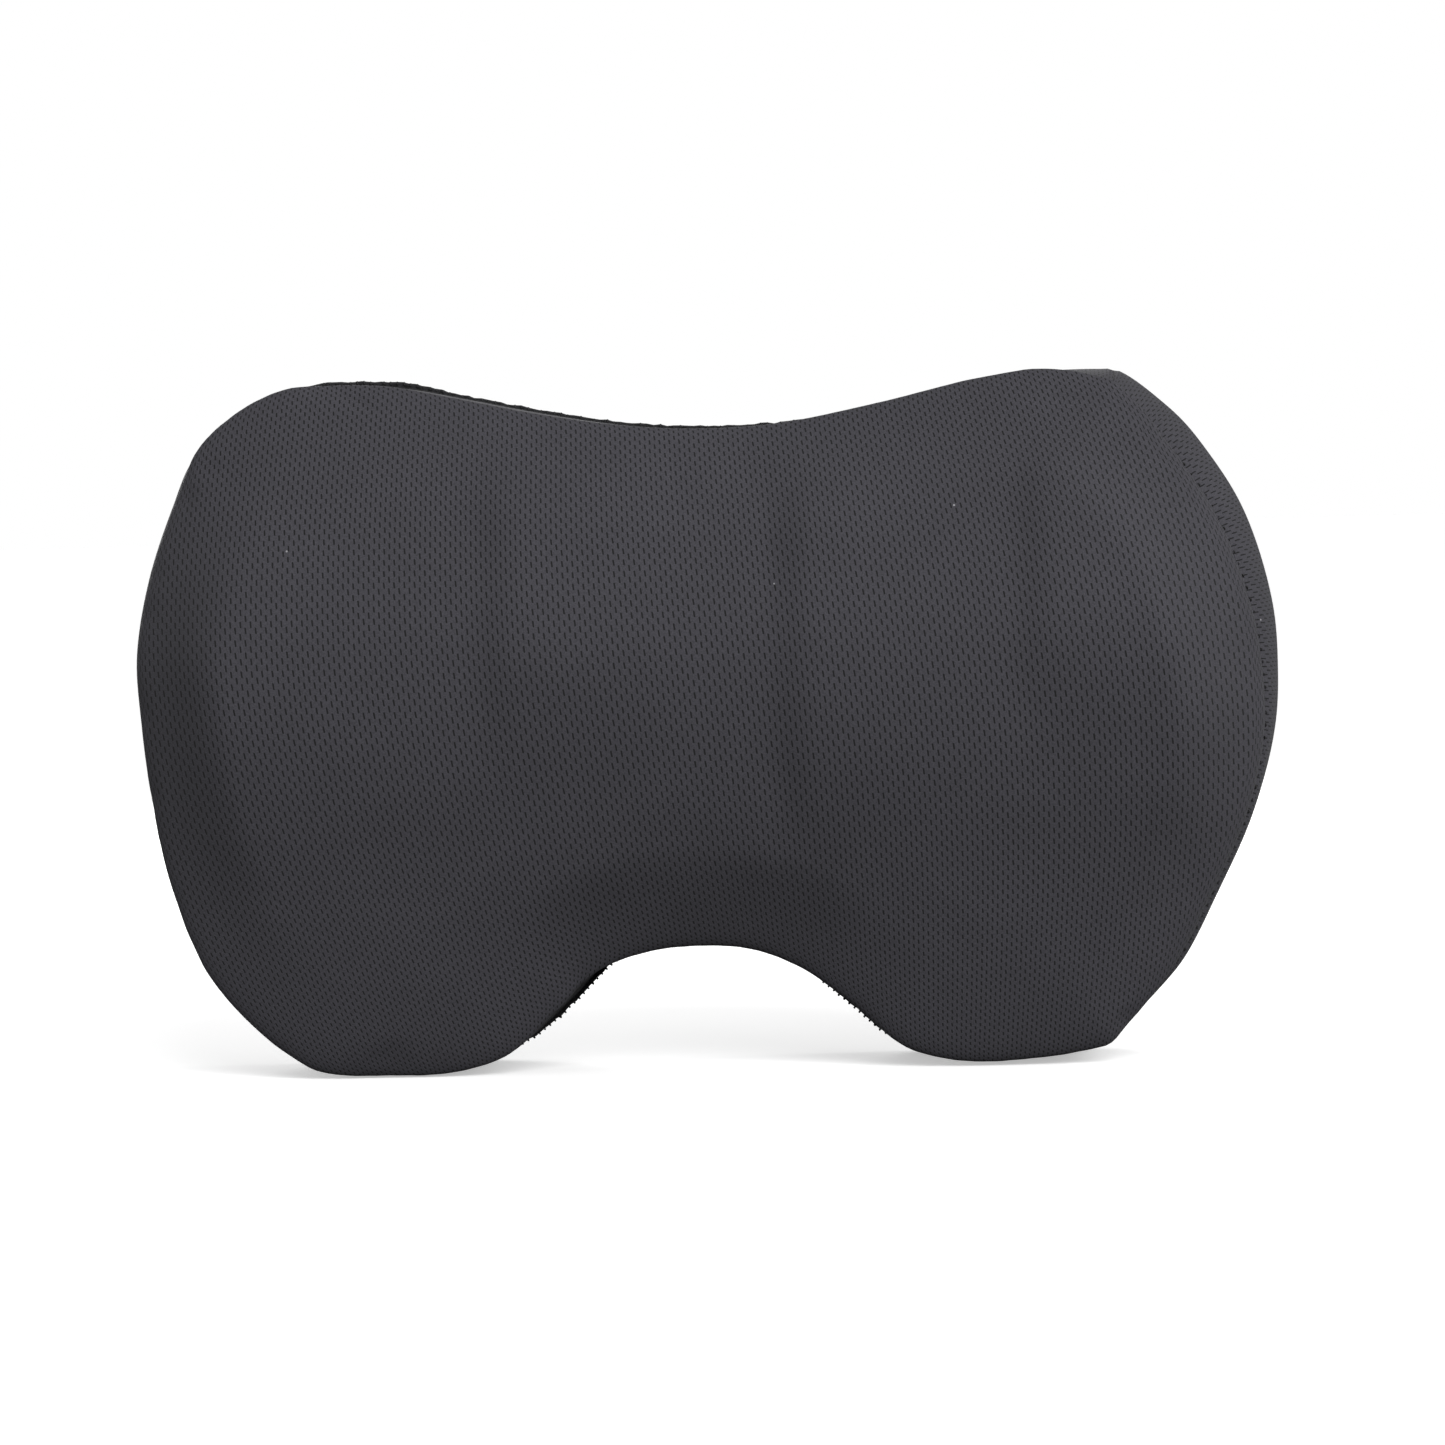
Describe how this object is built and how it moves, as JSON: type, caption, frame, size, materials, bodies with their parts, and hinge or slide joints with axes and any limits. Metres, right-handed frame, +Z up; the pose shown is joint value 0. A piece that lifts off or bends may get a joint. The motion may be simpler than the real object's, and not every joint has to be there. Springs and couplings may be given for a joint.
{
  "type": "lumbar support cushion",
  "caption": "Butterfly-shaped foam lumbar cushion with an arched lower edge, in a zipped knit cover with an elastic strap and side-release buckle across its flat back.",
  "frame": {"origin": "centre of the bounding box on the surface that the two lower lobes stand on", "axes": "+X to the sitter's left across the width, -Y towards the sitter, +Y towards the chair's backrest, +Z up"},
  "size_m": [0.3798, 0.1043, 0.2315],
  "materials": {
    "knit": "charcoal polyester eyelet knit, matt, bonded to thin wadding",
    "spacer_mesh": "black open spacer mesh",
    "foam": "moulded open-cell polyurethane foam, cream",
    "liner": "thin off-white stretch jersey",
    "elastic": "black woven elastic webbing",
    "zip_tape": "black woven polyester tape",
    "zip_coil": "black nylon coil",
    "zip_metal": "die-cast zinc, black coated",
    "acetal": "black moulded acetal, fine spark texture",
    "satin": "white woven satin, blank"
  },
  "bodies": {
    "cushion": {"foam_core": "foam", "core_liner": "liner", "front_panel": "knit", "gusset_top": "knit", "gusset_bottom": "knit", "gusset_left": "knit", "gusset_right": "knit", "back_panel_upper": "spacer_mesh", "back_panel_lower": "spacer_mesh", "care_label": "satin", "zip_tape_upper": "zip_tape", "zip_tape_lower": "zip_tape", "zip_coil_upper": "zip_coil", "zip_coil_lower": "zip_coil", "zip_stop_left": "zip_metal", "zip_stop_right": "zip_metal", "strap_left": "elastic", "strap_right": "elastic", "strap_patch_left": "elastic", "strap_patch_right": "elastic", "buckle_female": "acetal"},
    "slider": {"zip_slider": "zip_metal"},
    "pull_tab": {"zip_pull": "zip_metal"},
    "plug": {"buckle_male": "acetal", "strap_return": "elastic"},
    "arm_upper": {"buckle_arm_upper": "acetal"},
    "arm_lower": {"buckle_arm_lower": "acetal"},
    "adjuster": {"strap_adjuster": "acetal"}
  },
  "joints": [
    {"name": "zip_slide", "type": "slide", "parent": "cushion", "child": "slider", "axis": [1, 0, 0], "range_m": [0, 0.236]},
    {"name": "pull_flip", "type": "hinge", "parent": "slider", "child": "pull_tab", "pos_m": [-0.118, 0.04265, 0.084], "axis": [0, 0, 1], "range_deg": [0, 170]},
    {"name": "buckle_release", "type": "slide", "parent": "cushion", "child": "plug", "axis": [1, 0, 0], "range_m": [0, 0.03], "deforming": ["strap_right", "buckle_arm_upper", "buckle_arm_lower"]},
    {"name": "squeeze_upper", "type": "hinge", "parent": "plug", "child": "arm_upper", "pos_m": [0.004, 0.0473, 0.16125], "axis": [0, -1, 0], "range_deg": [0, 12], "stiffness_Nm_per_rad": 0.5},
    {"name": "squeeze_lower", "type": "hinge", "parent": "plug", "child": "arm_lower", "pos_m": [0.004, 0.0473, 0.13875], "axis": [0, 1, 0], "range_deg": [0, 12], "stiffness_Nm_per_rad": 0.5},
    {"name": "adjuster_slide", "type": "slide", "parent": "plug", "child": "adjuster", "axis": [-1, 0, 0], "range_m": [0, 0.056], "deforming": ["strap_return"]}
  ],
  "couplings": [
    {"joint": "squeeze_lower", "follows": "squeeze_upper", "ratio": 1}
  ]
}
